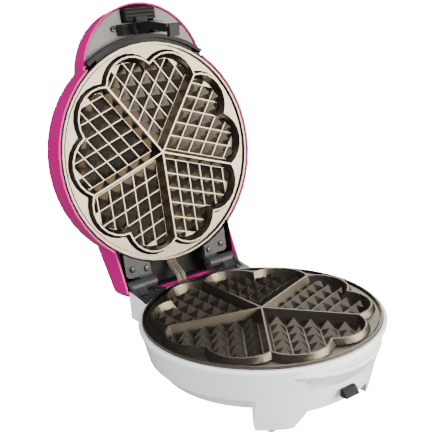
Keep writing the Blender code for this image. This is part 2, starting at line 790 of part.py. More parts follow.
def make_gland():
    """The cord's inlet: a flanged bush with a bore, in the rear wall."""
    z = gland_height()
    inside = BASE_TAIL_BACK - BASE_WALL - 0.0040
    face = BASE_TAIL_BACK + GAP
    gland = rod("cord_gland", (0, face, z), (0, face + 0.0030, z), GLAND_RADIUS + 0.0017, BASE, BLACK)
    neck = rod("gland_neck", (0, inside, z), (0, face + 0.0010, z), GLAND_RADIUS, BASE)
    bore = rod("gland_bore", (0, inside - REACH, z), (0, face + REACH, z), 0.0030, BASE)
    join(gland, neck)
    cut(gland, bore)


# ---------------------------------------------------------------- screws
def screw(name, place, along, length, frame, head=SCREW_HEAD):
    """A cross-head screw whose head starts at place, with its shank running along."""
    place = Vector(place)
    along = Vector(along)
    body = rod(name, place, place - along * 0.0014, head, frame, SCREW_METAL, segments=12)
    ends = place - along * 0.0005, place + along * length
    shank = rod(name + "_shank", *ends, SCREW_SHANK, frame, segments=8)
    join(body, shank)
    top = place - along * 0.0014
    turn = along.to_track_quat("Z", "Y").to_matrix()
    for angle in (0, math.pi / 2):
        bm = bmesh.new()
        bmesh.ops.create_cube(bm, size=1.0)
        bmesh.ops.scale(bm, vec=(head * 1.2, head * 0.30, 0.0016), verts=bm.verts)
        bmesh.ops.rotate(bm, cent=(0, 0, 0), matrix=Matrix.Rotation(angle, 3, "Z"), verts=bm.verts)
        bmesh.ops.transform(bm, matrix=Matrix.Translation(top) @ turn.to_4x4(), verts=bm.verts)
        cut(body, add(f"{name}_slot_{round(angle)}", finish(bm, "slot"), frame))
    return body


# ---------------------------------------------------------------- lid
def dome_profile(radius, lip, edge, top, inset=0.0, below=0.0):
    """The lid's side wall and rounded roof; inset makes the hollow inside it."""
    wall = radius - inset
    foot = edge - lip
    return [
        (0, top - inset),
        (wall * 0.55, top - inset - 0.0006),
        (wall - LID_TAPER * foot - 0.0130, top - inset - 0.0022),
        (wall - LID_TAPER * foot - 0.0045, top - inset - 0.0052),
        (wall - LID_TAPER * foot - LID_EDGE_ROUND, edge - inset / 2),
        (wall, lip),
        (wall, lip - below),
        (0, lip - below),
    ]


def tail_outline(inset=0.0, drop=0.0):
    """Side view of the lid's tail, as (y, z)."""
    corner = LID_LIP - drop
    return [
        (PLATE_RADIUS - 0.040, corner),
        (PLATE_RADIUS - 0.020, corner),
        (TAIL_BACK - inset, LID_LIP - 0.0120 - drop),
        (TAIL_BACK - inset, TAIL_EDGE_HEIGHT - inset / 2),
        (PLATE_RADIUS - 0.026, LID_EDGE + 0.0052 - inset),
        (PLATE_RADIUS - 0.040, LID_EDGE + 0.0060 - inset),
    ]


def rear_corner_trim(name, inset=0.0):
    """The tail's plan, with its two rear corners cut off."""
    half = TAIL_HALF_WIDTH - inset
    back = TAIL_BACK - inset
    width, length = TAIL_CORNER
    right = [(half - width, back), (half + REACH, back - length - REACH), (half + REACH, 0)]
    outline = [(-x, y) for x, y in reversed(right)] + right
    return plan_solid(name, outline, LID_LIP - 0.030, LID_TOP + REACH, LID)


def make_lid_shell():
    lobe = (0, -LID_LOBE_CENTRE)
    shell = turned("lid_shell", dome_profile(LID_RADIUS, LID_LIP, LID_EDGE, LID_TOP), LID, MAGENTA)
    lobe_dome = turned(
        "lobe_dome", dome_profile(LOBE_SHELL_RADIUS, LOBE_LIP, LID_EDGE - 0.0016, LOBE_TOP), LID, centre=lobe
    )
    tail = side_solid("lid_tail", tail_outline(), -TAIL_HALF_WIDTH, TAIL_HALF_WIDTH, LID)
    boolean(tail, rear_corner_trim("corner_trim"), "INTERSECT")
    join(shell, lobe_dome, tail)
    drum_room = turned(
        "drum_room", dome_profile(LID_RADIUS, LID_LIP, LID_EDGE, LID_TOP, LID_WALL, REACH), LID
    )
    lobe_room = turned(
        "lobe_room",
        dome_profile(LOBE_SHELL_RADIUS, LOBE_LIP, LID_EDGE - 0.0016, LOBE_TOP, LID_WALL, LOBE_LIP),
        LID,
        centre=lobe,
    )
    half = TAIL_HALF_WIDTH - LID_WALL
    tail_room = side_solid("tail_room", tail_outline(LID_WALL, 0.012), -half, half, LID)
    boolean(tail_room, rear_corner_trim("room_trim", LID_WALL / 2), "INTERSECT")
    rear_relief = box(
        "rear_relief",
        (-half, HINGE_Y, LID_LIP - 0.030),
        (half, TAIL_BACK + REACH, -0.0030),
        LID,
    )
    cut(shell, drum_room, lobe_room, tail_room, rear_relief)
    for side in (-1, 1):
        ends = lamp_at(side, LOBE_TOP / 2), lamp_at(side, LOBE_TOP + REACH)
        cut(shell, rod(f"lamp_hole_{side}", *ends, LAMP_RADIUS + GAP, LID))


def lamp_at(side, z):
    return (side * LAMP_SPREAD, -LID_LOBE_CENTRE - 0.041, z)


def make_lamps():
    for side, name, mat in ((-1, "power_lamp", RED_LENS), (1, "ready_lamp", GREEN_LENS)):
        x, y, z = lamp_at(side, LOBE_TOP - 0.0090)
        top = LOBE_TOP + 0.0012
        profile = [
            (0, top),
            (LAMP_RADIUS * 0.6, top - 0.0003),
            (LAMP_RADIUS, top - 0.0012),
            (LAMP_RADIUS, z),
            (0, z),
        ]
        turned(name, profile, LID, mat, SMALL_SEGMENTS, (x, y))


def arc_wall_half_angle(radius):
    """Half the angle of an arc about the plates' centre that ends just past the inside of the lobe."""
    lobe = LOBE_SHELL_RADIUS - LID_WALL
    cosine = (radius**2 + LID_LOBE_CENTRE**2 - lobe**2) / (2 * radius * LID_LOBE_CENTRE)
    return math.acos(cosine) + ARC_WALL_PAST


def make_liner():
    """The black frame inside the lid: a thin ring, an arched wall across the lobe and two hinge pads."""
    inner = PLATE_RADIUS + GAP
    outer = LID_RADIUS - LID_WALL - GAP - LID_SLOPE * (LINER_TOP - LID_LIP)
    low = LID_LIP + 0.0005
    liner = ring("lid_liner", inner, outer, low, LINER_TOP, LID, BLACK)
    arc_inner = LID_RADIUS + GAP + 0.0002
    half = arc_wall_half_angle(arc_inner + ARC_WALL_WIDTH)
    down = -math.pi / 2
    arc_wall = plan_solid(
        "arc_wall",
        sector(arc_inner, arc_inner + ARC_WALL_WIDTH, down - half, down + half, 14),
        LID_LIP - 0.0010,
        LOBE_LIP - GAP,
        LID,
    )
    web_half = half - ARC_WEB_SETBACK
    web = plan_solid(
        "arc_web",
        sector((inner + outer) / 2, arc_inner + 0.0010, down - web_half, down + web_half, 12),
        LOBE_LIP - 0.0030,
        LOBE_LIP - 0.0010,
        LID,
    )
    join(liner, arc_wall, web)
    pad_low = LEAF_BOTTOM + LEAF_THICKNESS + GAP
    for side in (-1, 1):
        edges = sorted((side * (HINGE_INNER + 0.0020), side * (HINGE_OUTER - 0.0020)))
        pad = box(
            f"hinge_pad_{side}",
            (edges[0], PLATE_RADIUS - 0.022, pad_low),
            (edges[1], HINGE_Y - 0.0085, HINGE_PAD_TOP),
            LID,
        )
        cut(pad, disc(f"pad_trim_{side}", inner + 0.0002, -0.010, 0.050, LID))
        join(liner, pad)
    for place in leaf_screw_places():
        ends = (*place, 0), (*place, pad_low + 0.0080)
        cut(liner, rod("liner_hole", *ends, SCREW_SHANK + GAP, LID, segments=8))


def lobe_plate_outline():
    """The lobe's circle, closed off by the arched wall's circle."""
    radius = LOBE_SHELL_RADIUS - LID_WALL - RUN
    inner = LID_RADIUS + GAP
    d = LID_LOBE_CENTRE
    y = -(inner**2 - radius**2 + d**2) / (2 * d)
    x = math.sqrt(inner**2 - y**2)
    start = math.atan2(y + d, -x)
    lobe_arc = arc((0, -d), radius, start, -math.pi - start, 24)
    inner_angle = math.atan2(y, x)
    drum_arc = arc((0, 0), inner, inner_angle, -math.pi - inner_angle, 16)
    return lobe_arc[:-1] + drum_arc[:-1]


def make_lobe_plate():
    low = LOBE_LIP + 0.0015
    plate = plan_solid("lobe_plate", lobe_plate_outline(), low, low + LOBE_PLATE_THICKNESS, LID, GREY)
    window = box(
        "thumb_window",
        (-THUMB_HALF_WIDTH - 0.0020, -PLATE_RADIUS - LOBE_REACH, low - REACH),
        (THUMB_HALF_WIDTH + 0.0020, LATCH_Y - 0.0065, low + REACH),
        LID,
    )
    cut(plate, window)
    for side, word in ((-1, "left"), (1, "right")):
        place = (side * (BRACKET_HALF_WIDTH + SCREW_HEAD + RUN), LATCH_Y - 0.0020)
        hole = rod(f"lobe_hole_{word}", (*place, 0), (*place, 0.030), SCREW_SHANK + GAP, LID, segments=8)
        cut(plate, hole)
        screw(f"lobe_screw_{word}", (*place, low - GAP), (0, 0, 1), 0.0080, LID)


# ---------------------------------------------------------------- hinges
def leaf_screw_places():
    return [(side * x, HINGE_Y + y) for side in (-1, 1) for x, y in ((0.0560, -0.0165), (0.0395, -0.0137))]


def bracket_screw_places():
    return [(side * x, HINGE_Y + y) for side in (-1, 1) for x, y in ((0.0580, -0.0195), (0.0400, -0.0115))]


def pin_hole(name, side, frame):
    ends = (side * (HINGE_INNER - REACH), HINGE_Y, 0), (side * (HINGE_OUTER + 2 * REACH), HINGE_Y, 0)
    return rod(name, *ends, PIN_RADIUS + GAP, frame, segments=12)


def make_hinge_leaf(side, word):
    """The lid's half: a flat leaf with the inner barrel."""
    front = PLATE_RADIUS - 0.0230
    back = HINGE_Y - 0.0060
    outline = [
        (side * HINGE_INNER, front),
        (side * HINGE_OUTER, front),
        (side * HINGE_OUTER, back - 0.0050),
        (side * (HINGE_OUTER - 0.0035), back - 0.0020),
        (side * (HINGE_SPLIT - 0.0005), back - 0.0020),
        (side * (HINGE_SPLIT - 0.0005), back),
        (side * HINGE_INNER, back),
    ]
    top = LEAF_BOTTOM + LEAF_THICKNESS
    leaf = plan_solid("hinge_leaf_" + word, outline, LEAF_BOTTOM, top, LID, HINGE_GREY)
    cut(leaf, disc("leaf_trim_" + word, LID_RADIUS - LID_WALL + GAP, -0.010, 0.020, LID))
    inner = side * (HINGE_INNER - 0.0005)
    split = side * (HINGE_SPLIT - GAP)
    barrel = rod("leaf_barrel_" + word, (inner, HINGE_Y, 0), (split, HINGE_Y, 0), BARREL_RADIUS, LID)
    web = side_solid(
        "leaf_web_" + word,
        [
            (back - 0.0020, LEAF_BOTTOM),
            (HINGE_Y - 0.0035, 0),
            (HINGE_Y, BARREL_RADIUS * 0.9),
            (back - 0.0020, top),
        ],
        min(inner, split),
        max(inner, split),
        LID,
    )
    join(leaf, web, barrel)
    cut(leaf, pin_hole("leaf_pin_hole_" + word, side, LID))
    for place in leaf_screw_places():
        if place[0] * side > 0:
            cut(leaf, rod("leaf_hole", (*place, -0.010), (*place, 0.020), SCREW_SHANK + GAP, LID, segments=8))


def make_hinge_bracket(side, word):
    """The base's half: a pad on the tail, the outer barrel and a cheek beyond it."""
    low = BASE_TAIL_TOP + GAP
    back = HINGE_Y - 0.0065
    cheek_out = side * (HINGE_OUTER + CHEEK_WIDTH)
    outline = [
        (side * (HINGE_INNER - 0.0040), PLATE_RADIUS - 0.018),
        (cheek_out, PLATE_RADIUS - 0.018),
        (cheek_out, back),
        (side * (HINGE_INNER - 0.0040), back),
    ]
    bracket = plan_solid("hinge_bracket_" + word, outline, low, BRACKET_TOP, BASE, HINGE_GREY)
    start = side * (HINGE_SPLIT + GAP)
    barrel = rod("bracket_barrel_" + word, (start, HINGE_Y, 0), (cheek_out, HINGE_Y, 0), BARREL_RADIUS, BASE)
    web = side_solid(
        "bracket_web_" + word,
        [
            (back - 0.0060, low + 0.0010),
            (back, low + 0.0010),
            (HINGE_Y - 0.0048, -0.0036),
            (HINGE_Y, 0),
            (HINGE_Y - 0.0050, 0.0010),
            (back - 0.0060, BRACKET_TOP - 0.0005),
        ],
        min(start, cheek_out),
        max(start, cheek_out),
        BASE,
    )
    cheek = side_solid(
        "cheek_" + word,
        [
            (PLATE_RADIUS - 0.014, low + 0.0010),
            (back, low + 0.0010),
            (HINGE_Y - 0.0048, -0.0036),
            (HINGE_Y, 0),
            (HINGE_Y - 0.0030, 0.0052),
            (HINGE_Y - 0.0075, 0.0015),
        ],
        min(side * (HINGE_OUTER + GAP), cheek_out),
        max(side * (HINGE_OUTER + GAP), cheek_out),
        BASE,
    )
    join(bracket, web, cheek, barrel)
    cut(bracket, disc("bracket_trim_" + word, LIP_RADIUS + GAP, -0.020, 0.010, BASE))
    cut(bracket, pin_hole("bracket_pin_hole_" + word, side, BASE))
    for place in bracket_screw_places():
        if place[0] * side > 0:
            ends = (*place, low - REACH), (*place, BRACKET_TOP + REACH)
            cut(bracket, rod("bracket_hole", *ends, SCREW_SHANK + GAP, BASE, segments=8))


def make_hinges():
    for side, word in ((-1, "left"), (1, "right")):
        make_hinge_leaf(side, word)
        make_hinge_bracket(side, word)
        inner = side * (HINGE_INNER - 0.0015)
        outer = side * (HINGE_OUTER + CHEEK_WIDTH + 0.0004)
        ends = (inner, HINGE_Y, 0), (outer, HINGE_Y, 0)
        rod("hinge_pin_" + word, *ends, PIN_RADIUS, BASE, STEEL, segments=12)
    for number, place in enumerate(leaf_screw_places()):
        screw(f"leaf_screw_{number}", (*place, LEAF_BOTTOM - GAP), (0, 0, 1), 0.0090, LID)
    base_shell = bpy.data.objects["base_shell"]
    for number, place in enumerate(bracket_screw_places()):
        seat = (*place, BRACKET_TOP + GAP)
        screw(f"bracket_screw_{number}", seat, (0, 0, -1), 0.0095, BASE, SCREW_HEAD * 0.8)
        ends = (*place, BASE_TAIL_TOP - BASE_WALL - REACH), (*place, 0)
        cut(base_shell, rod("tail_screw_hole", *ends, SCREW_SHANK + GAP, BASE, segments=8))


# ---------------------------------------------------------------- latch
def make_latch_bracket():
    """Holds the latch pin under the lobe plate: a bridge with two cheeks either side of the lever."""
    top = LOBE_LIP + 0.0015 - GAP
    front = LATCH_Y - LATCH_BOSS - 0.0004
    back = -LID_RADIUS - ARC_WALL_WIDTH - 0.0008
    taper = 0.0040
    outline = [
        (-BRACKET_HALF_WIDTH, top),
        (-BRACKET_HALF_WIDTH, top - 0.0022),
        (-BRACKET_HALF_WIDTH + taper, top - 0.0055),
        (BRACKET_HALF_WIDTH - taper, top - 0.0055),
        (BRACKET_HALF_WIDTH, top - 0.0022),
        (BRACKET_HALF_WIDTH, top),
    ]
    bracket = front_solid("latch_bracket", outline, front, back, LID, BLACK)
    slot_half = BOSS_HALF_WIDTH + RUN
    low = LATCH_AXIS_HEIGHT - LATCH_BOSS
    for side in (-1, 1):
        edges = sorted((side * (slot_half - 0.0002), side * (slot_half + CHEEK_THICKNESS)))
        corners = (edges[0], front, low), (edges[1], back, top - 0.0010)
        join(bracket, box(f"latch_cheek_{side}", *corners, LID, bevel=0.0012))
    slot = box(
        "latch_slot",
        (-slot_half, front - REACH, low - REACH),
        (slot_half, back + REACH, LATCH_AXIS_HEIGHT + LATCH_BOSS + 0.0005),
        LID,
    )
    reach = slot_half + CHEEK_THICKNESS + REACH
    hole = latch_rod("latch_bracket_hole", reach, LATCH_PIN_RADIUS + GAP, LID)
    cut(bracket, slot, hole)


def latch_rod(name, half, radius, frame, mat=None):
    ends = (-half, LATCH_Y, LATCH_AXIS_HEIGHT), (half, LATCH_Y, LATCH_AXIS_HEIGHT)
    return rod(name, *ends, radius, frame, mat, segments=12)


def make_latch_lever():
    """Thumb block, boss, arm and hook in one moulding. The arm bows forward to clear the base's shelf."""
    catch_front = -drum_radius(CATCH_TOP) - GAP - CATCH_REACH
    shelf_clear = -SHELF_FRONT - RUN
    arm_in = catch_front - RUN
    hook_top = CATCH_BOTTOM - RUN
    arm = [
        (LATCH_Y + 0.0042, LATCH_AXIS_HEIGHT),
        (shelf_clear, LIP_TOP),
        (shelf_clear, SHELF_LIP - 0.0035),
        (arm_in, CATCH_TOP - 0.0030),
        (arm_in, hook_top),
        (arm_in + 0.0052, hook_top),
        (arm_in + 0.0052, hook_top - 0.0046),
        (arm_in - 0.0040, hook_top - 0.0060),
        (arm_in - 0.0070, hook_top - 0.0060),
        (arm_in - 0.0074, hook_top),
        (LATCH_Y - 0.0050, SHELF_LIP),
        (LATCH_Y - 0.0049, LATCH_AXIS_HEIGHT),
    ]
    lever = side_solid("latch_lever", arm, -LEVER_HALF_WIDTH, LEVER_HALF_WIDTH, LATCH, BLACK)
    start = (-BOSS_HALF_WIDTH, LATCH_Y, LATCH_AXIS_HEIGHT)
    end = (LEVER_HALF_WIDTH + GAP, LATCH_Y, LATCH_AXIS_HEIGHT)
    boss = rod("latch_boss", start, end, LATCH_BOSS, LATCH)
    web = box(
        "thumb_web",
        (-BOSS_HALF_WIDTH + GAP, LATCH_Y - 0.0110, 0.0004),
        (LEVER_HALF_WIDTH - GAP, LATCH_Y - 0.0010, LATCH_AXIS_HEIGHT + 0.0035),
        LATCH,
    )
    thumb = side_solid(
        "thumb_block",
        [
            (LATCH_Y - 0.0085, 0.0035),
            (LATCH_Y - 0.0200, 0.0035),
            (LATCH_Y - 0.0200, 0.0120),
            (LATCH_Y - 0.0120, 0.0120),
            (LATCH_Y - 0.0085, 0.0080),
        ],
        -THUMB_HALF_WIDTH,
        THUMB_HALF_WIDTH,
        LATCH,
    )
    tab = box(
        "hook_tab",
        (-LEVER_HALF_WIDTH - 0.0030, arm_in - 0.0068, hook_top - 0.0050),
        (LEVER_HALF_WIDTH + 0.0030, arm_in - 0.0040, hook_top - 0.0015),
        LATCH,
    )
    join(lever, boss, web, thumb, tab)
    for number in range(3):
        y = LATCH_Y - 0.0108 - 0.0036 * number
        ends = (-THUMB_HALF_WIDTH + 0.0010, y, 0.0036), (THUMB_HALF_WIDTH - 0.0010, y, 0.0036)
        join(lever, rod(f"thumb_rib_{number}", *ends, 0.0011, LATCH, segments=8))
    cut(lever, latch_rod("latch_lever_hole", BOSS_HALF_WIDTH + REACH, LATCH_PIN_RADIUS + GAP, LATCH))


def make_latch_pin():
    latch_rod("latch_pin", BOSS_HALF_WIDTH + RUN + CHEEK_THICKNESS, LATCH_PIN_RADIUS, LID, STEEL)


def make_latch_spring():
    """A torsion coil round the pin, between the lever and one cheek."""
    start = LEVER_HALF_WIDTH + 2 * GAP + SPRING_WIRE
    end = BOSS_HALF_WIDTH + RUN - GAP - SPRING_WIRE
    coil = LATCH_PIN_RADIUS + RUN + SPRING_WIRE
    steps = 24
    points = []
    for step in range(steps + 1):
        share = step / steps
        angle = 2 * math.pi * SPRING_TURNS * share
        x = start + (end - start) * share
        points.append((x, LATCH_Y + coil * math.cos(angle), LATCH_AXIS_HEIGHT + coil * math.sin(angle)))
    tube("latch_spring", points, SPRING_WIRE, LID, STEEL)


# ---------------------------------------------------------------- heating
def tube(name, points, radius, frame, mat, resolution=1):
    """A round bar or lead along a line of points."""
    curve = bpy.data.curves.new(name, "CURVE")
    curve.dimensions = "3D"
    curve.bevel_depth = radius
    curve.bevel_resolution = resolution
    curve.use_fill_caps = True
    spline = curve.splines.new("POLY")
    spline.points.add(len(points) - 1)
    for place, point in zip(spline.points, points):
        place.co = (*point, 1.0)
    obj = bpy.data.objects.new(name, curve)
    obj.parent = frame
    obj.location = OFFSETS[frame.name]
    PARTS.objects.link(obj)
    curve.materials.append(mat)
    return obj


def make_heaters():
    """A tubular element against the back of each plate, and a thin dished reflector behind it."""
    radius = PLATE_RADIUS - ELEMENT_INSET
    dish = PLATE_RADIUS - REFLECTOR_INSET
    start = math.radians(108)
    loop = arc((0, 0), radius, start, start + math.radians(324), 30)
    for prefix, frame, back, away in (("lower", BASE, UNDERSIDE, -1), ("upper", LID, UPPER_UNDERSIDE, 1)):
        z = back + away * (GAP + ELEMENT_RADIUS)
        tube(prefix + "_heating_element", [(x, y, z) for x, y in loop], ELEMENT_RADIUS, frame, STEEL)
        floor = back + away * REFLECTOR_DROP
        thick = away * REFLECTOR_THICKNESS
        profile = [
            (0, floor),
            (dish - 0.004, floor),
            (dish, floor - away * 0.006),
            (dish + REFLECTOR_THICKNESS, floor - away * 0.006),
            (dish - 0.004 + REFLECTOR_THICKNESS, floor + thick),
            (0, floor + thick),
        ]
        if away > 0:
            profile.reverse()
        turned(prefix + "_reflector", profile, frame, ALUMINIUM)


def make_controls():
    """The safety and control pieces behind the lower plate, and the terminal block under its reflector."""
    high = UNDERSIDE - GAP
    low = UNDERSIDE - REFLECTOR_DROP + GAP
    disc("thermostat", 0.0090, low, high, BASE, CERAMIC, (0.028, 0.012), SMALL_SEGMENTS)
    fuse_z = UNDERSIDE - GAP - 0.0025
    rod("thermal_fuse", (-0.040, -0.004, fuse_z), (-0.016, -0.004, fuse_z), 0.0025, BASE, CERAMIC, 8)
    terminal_low = (-0.0200, 0.0540, TIER_BOTTOM + COVER_THICKNESS + GAP)
    terminal_high = (0.0200, 0.0680, TIER_BOTTOM + COVER_THICKNESS + 0.0125)
    box("terminal_block", terminal_low, terminal_high, BASE, CERAMIC, bevel=0.0008)


# ---------------------------------------------------------------- leads between lid and base
def lead_route():
    """Centre line of the pair of leads, lid open: lid wiring, the sag between the hinges, terminal block."""
    return [
        (0.0000, 0.1588, 0.0389),
        (0.0000, 0.1565, 0.0290),
        (0.0000, 0.1520, 0.0238),
        (0.0000, 0.1476, 0.0196),
        (0.0000, 0.1472, 0.0145),
        (0.0000, 0.1460, 0.0102),
        (-0.0002, 0.1425, 0.0060),
        (-0.0010, 0.1370, 0.0030),
        (-0.0028, 0.1280, 0.0008),
        (-0.0043, 0.1216, -0.0012),
        (-0.0053, 0.1180, -0.0058),
        (-0.0055, 0.1174, -0.0110),
        (-0.0055, 0.1168, -0.0158),
        (-0.0055, 0.1138, -0.0198),
        (-0.0055, 0.1080, -0.0203),
        (-0.0055, 0.1012, -0.0230),
        (-0.0055, 0.0960, -0.0290),
        (-0.0050, 0.0880, -0.0350),
        (-0.0040, 0.0780, -0.0375),
        (-0.0040, 0.0685, -0.0385),
    ]


def smooth(points, pieces):
    """Points on a smooth curve through the given ones, so many pieces to each stretch."""
    padded = [points[0]] + points + [points[-1]]
    curve = []
    for a, b, c, d in zip(padded, padded[1:], padded[2:], padded[3:]):
        for step in range(pieces):
            t = step / pieces
            curve.append(tuple(
                q + 0.5 * t * (r - p + t * (2 * p - 5 * q + 4 * r - s + t * (3 * (q - r) + s - p)))
                for p, q, r, s in zip(a, b, c, d)
            ))
    return curve + [points[-1]]


def make_leads():
    for side, word in ((-0.5, "left"), (0.5, "right")):
        points = [(x + side * LEAD_SPACING, y, z) for x, y, z in lead_route()]
        tube("lid_lead_" + word, smooth(points, 2), LEAD_RADIUS, BASE, SLEEVE, 2)


# ---------------------------------------------------------------- the whole waffle maker
make_plates()
make_base_shell()
make_bottom_cover()
make_feet()
make_catch()
make_gland()
make_lid_shell()
make_lamps()
make_liner()
make_lobe_plate()
make_hinges()
make_latch_bracket()
make_latch_lever()
make_latch_pin()
make_latch_spring()
make_heaters()
make_controls()
make_leads()
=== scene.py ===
# %% [markdown]
# # A waffle maker, standing open
#
# The waffle maker is a white base and a magenta lid that meet at two hinges, with a heart-pocket baking plate in
# each. Its frame is already made: every part has its true place and size in metres, and the floor is at Z = 0.
# This lesson gives that frame its looks. It starts with the camera, the stage and the light, then makes the
# finishes, and then works through the pieces from the largest to the smallest.

import bmesh
import bpy
import json
import math
from mathutils import Matrix, Vector


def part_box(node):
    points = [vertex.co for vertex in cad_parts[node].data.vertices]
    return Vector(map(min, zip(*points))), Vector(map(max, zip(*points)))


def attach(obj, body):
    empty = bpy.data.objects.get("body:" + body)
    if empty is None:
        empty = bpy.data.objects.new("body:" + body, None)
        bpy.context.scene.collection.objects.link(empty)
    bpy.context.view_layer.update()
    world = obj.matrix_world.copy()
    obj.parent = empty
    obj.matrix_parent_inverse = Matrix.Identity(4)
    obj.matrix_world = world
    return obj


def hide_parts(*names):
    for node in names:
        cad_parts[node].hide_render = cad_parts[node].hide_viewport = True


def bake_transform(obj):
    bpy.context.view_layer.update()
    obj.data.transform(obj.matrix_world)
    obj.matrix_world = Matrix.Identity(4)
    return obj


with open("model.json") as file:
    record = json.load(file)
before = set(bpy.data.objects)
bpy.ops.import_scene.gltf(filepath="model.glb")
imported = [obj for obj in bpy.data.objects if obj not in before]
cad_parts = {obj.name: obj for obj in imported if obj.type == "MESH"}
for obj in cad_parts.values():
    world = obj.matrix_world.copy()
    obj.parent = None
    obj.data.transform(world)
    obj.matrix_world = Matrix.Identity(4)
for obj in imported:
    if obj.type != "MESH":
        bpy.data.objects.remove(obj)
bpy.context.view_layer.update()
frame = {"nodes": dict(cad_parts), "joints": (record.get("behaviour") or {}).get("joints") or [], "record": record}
lid_hinge = next(joint for joint in frame["joints"] if joint["name"] == "lid_hinge")
hinge = Vector(lid_hinge["pos_m"])
lid_swing = math.radians(max(lid_hinge["range_deg"]))
plate_low, plate_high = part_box("lower_plate")
plate_centre = Vector(((plate_low.x + plate_high.x) / 2, (plate_low.y + plate_high.y) / 2, plate_high.z))
plate_radius = (plate_high.x - plate_low.x) / 2
print("plate radius", round(plate_radius, 4), "hinge", [round(v, 4) for v in hinge])

# %% [markdown]
# ## The camera
#
# The waffle maker is seen from its front left, from a little above the top of the base. A long lens keeps the
# two round plates close to true ellipses. The camera is placed relative to the middle of the lower plate, so it
# stays right if the frame is packed again. A slight roll sits in the same rotation matrix as the aim.

# %% Camera
AZIMUTH = math.radians(-37.15)
ELEVATION = math.radians(17.29)
ROLL = math.radians(-2.78)
CAMERA_OFFSET = Vector((-0.4410, -0.5197, 0.3015))
LENS_MM = 67.03

back = Vector((
    math.sin(AZIMUTH) * math.cos(ELEVATION),
    -math.cos(AZIMUTH) * math.cos(ELEVATION),
    math.sin(ELEVATION),
))
level_right = Vector((math.cos(AZIMUTH), math.sin(AZIMUTH), 0))
level_up = back.cross(level_right)
right = math.cos(ROLL) * level_right + math.sin(ROLL) * level_up
up = math.cos(ROLL) * level_up - math.sin(ROLL) * level_right
camera = bpy.data.objects.new("camera", bpy.data.cameras.new("camera"))
bpy.context.scene.collection.objects.link(camera)
aim = Matrix((right, up, back)).transposed().to_4x4()
camera.matrix_world = Matrix.Translation(plate_centre + CAMERA_OFFSET) @ aim
camera.data.sensor_width = 36.0
camera.data.lens = LENS_MM
camera.data.clip_start = 0.02
bpy.context.scene.camera = camera
print("camera at", [round(v, 3) for v in camera.matrix_world.translation])

# %% [markdown]
# ## The stage
#
# A product on a white table needs only a pale floor and soft lamps. The floor runs past the horizon of this view,
# so floor and backdrop are one even white. It glows for the camera only: what the waffle maker reflects and is
# lit by is a much darker floor, which keeps the magenta deep and the slopes of the plates dark.

# %% The floor
def link(obj):
    bpy.context.scene.collection.objects.link(obj)
    return obj


def add_node(tree, kind, links=None, **values):
    """A node with some of its sockets linked or set. Names with a capital are sockets, others are settings."""
    node = tree.nodes.new(kind)
    for name, value in values.items():
        if name[0].isupper():
            node.inputs[name.replace("_", " ")].default_value = value
        else:
            setattr(node, name, value)
    for socket, source in (links or {}).items():
        tree.links.new(source, node.inputs[socket])
    return node


FLOOR_GLOW = 25.0
FLOOR_GREY = 0.16
floor_mesh = bpy.data.meshes.new("floor")
floor_bm = bmesh.new()
bmesh.ops.create_grid(floor_bm, x_segments=1, y_segments=1, size=40.0)
floor_bm.to_mesh(floor_mesh)
floor_bm.free()
floor = link(bpy.data.objects.new("floor", floor_mesh))

floor_paint = bpy.data.materials.new("pale_floor")
floor_paint.use_nodes = True
tree = floor_paint.node_tree
tree.nodes.clear()
path = tree.nodes.new("ShaderNodeLightPath")
matte = add_node(tree, "ShaderNodeBsdfDiffuse", Color=(FLOOR_GREY, FLOOR_GREY, FLOOR_GREY, 1))
bright = add_node(tree, "ShaderNodeBsdfDiffuse", Color=(0.95, 0.95, 0.95, 1))
glow = add_node(tree, "ShaderNodeEmission", Color=(1, 1, 1, 1), Strength=FLOOR_GLOW)
seen = add_node(tree, "ShaderNodeAddShader")
tree.links.new(bright.outputs[0], seen.inputs[0])
tree.links.new(glow.outputs[0], seen.inputs[1])
choice = add_node(tree, "ShaderNodeMixShader", {0: path.outputs["Is Camera Ray"]})
tree.links.new(matte.outputs[0], choice.inputs[1])
tree.links.new(seen.outputs[0], choice.inputs[2])
add_node(tree, "ShaderNodeOutputMaterial", {"Surface": choice.outputs[0]})
floor.data.materials.append(floor_paint)

# %% [markdown]
# ## Lamps
#
# The satin plates are the hard part: a metal coating shows what it mirrors, so its flats are bright only if
# something bright stands where they mirror. The mirror direction of the open upper plate is worked out from its
# normal and the camera, and a card lamp is set there. The slopes of the hearts mirror other directions, which
# are kept dim, so the hearts read clearly. The lower plate has a weaker card of its own. The three softboxes
# light the plastics and are left out of reflections, and a card above gives the upward slopes a soft sheen.

# %% Cards and softboxes
def lamp(name, place, target, size, power, colour=(1, 1, 1), mirrored_too=True):
    light = bpy.data.lights.new(name, "AREA")
    light.shape = "RECTANGLE"
    light.size, light.size_y = size
    light.energy = power
    light.color = colour
    obj = link(bpy.data.objects.new(name, light))
    obj.location = place
    obj.rotation_euler = (Vector(target) - Vector(place)).to_track_quat("-Z", "Y").to_euler()
    obj.visible_glossy = mirrored_too
    return obj


def mirrored(centre, normal):
    """The direction from a flat face to what the camera sees mirrored in it."""
    to_camera = (camera.matrix_world.translation - centre).normalized()
    return 2 * normal.dot(to_camera) * normal - to_camera


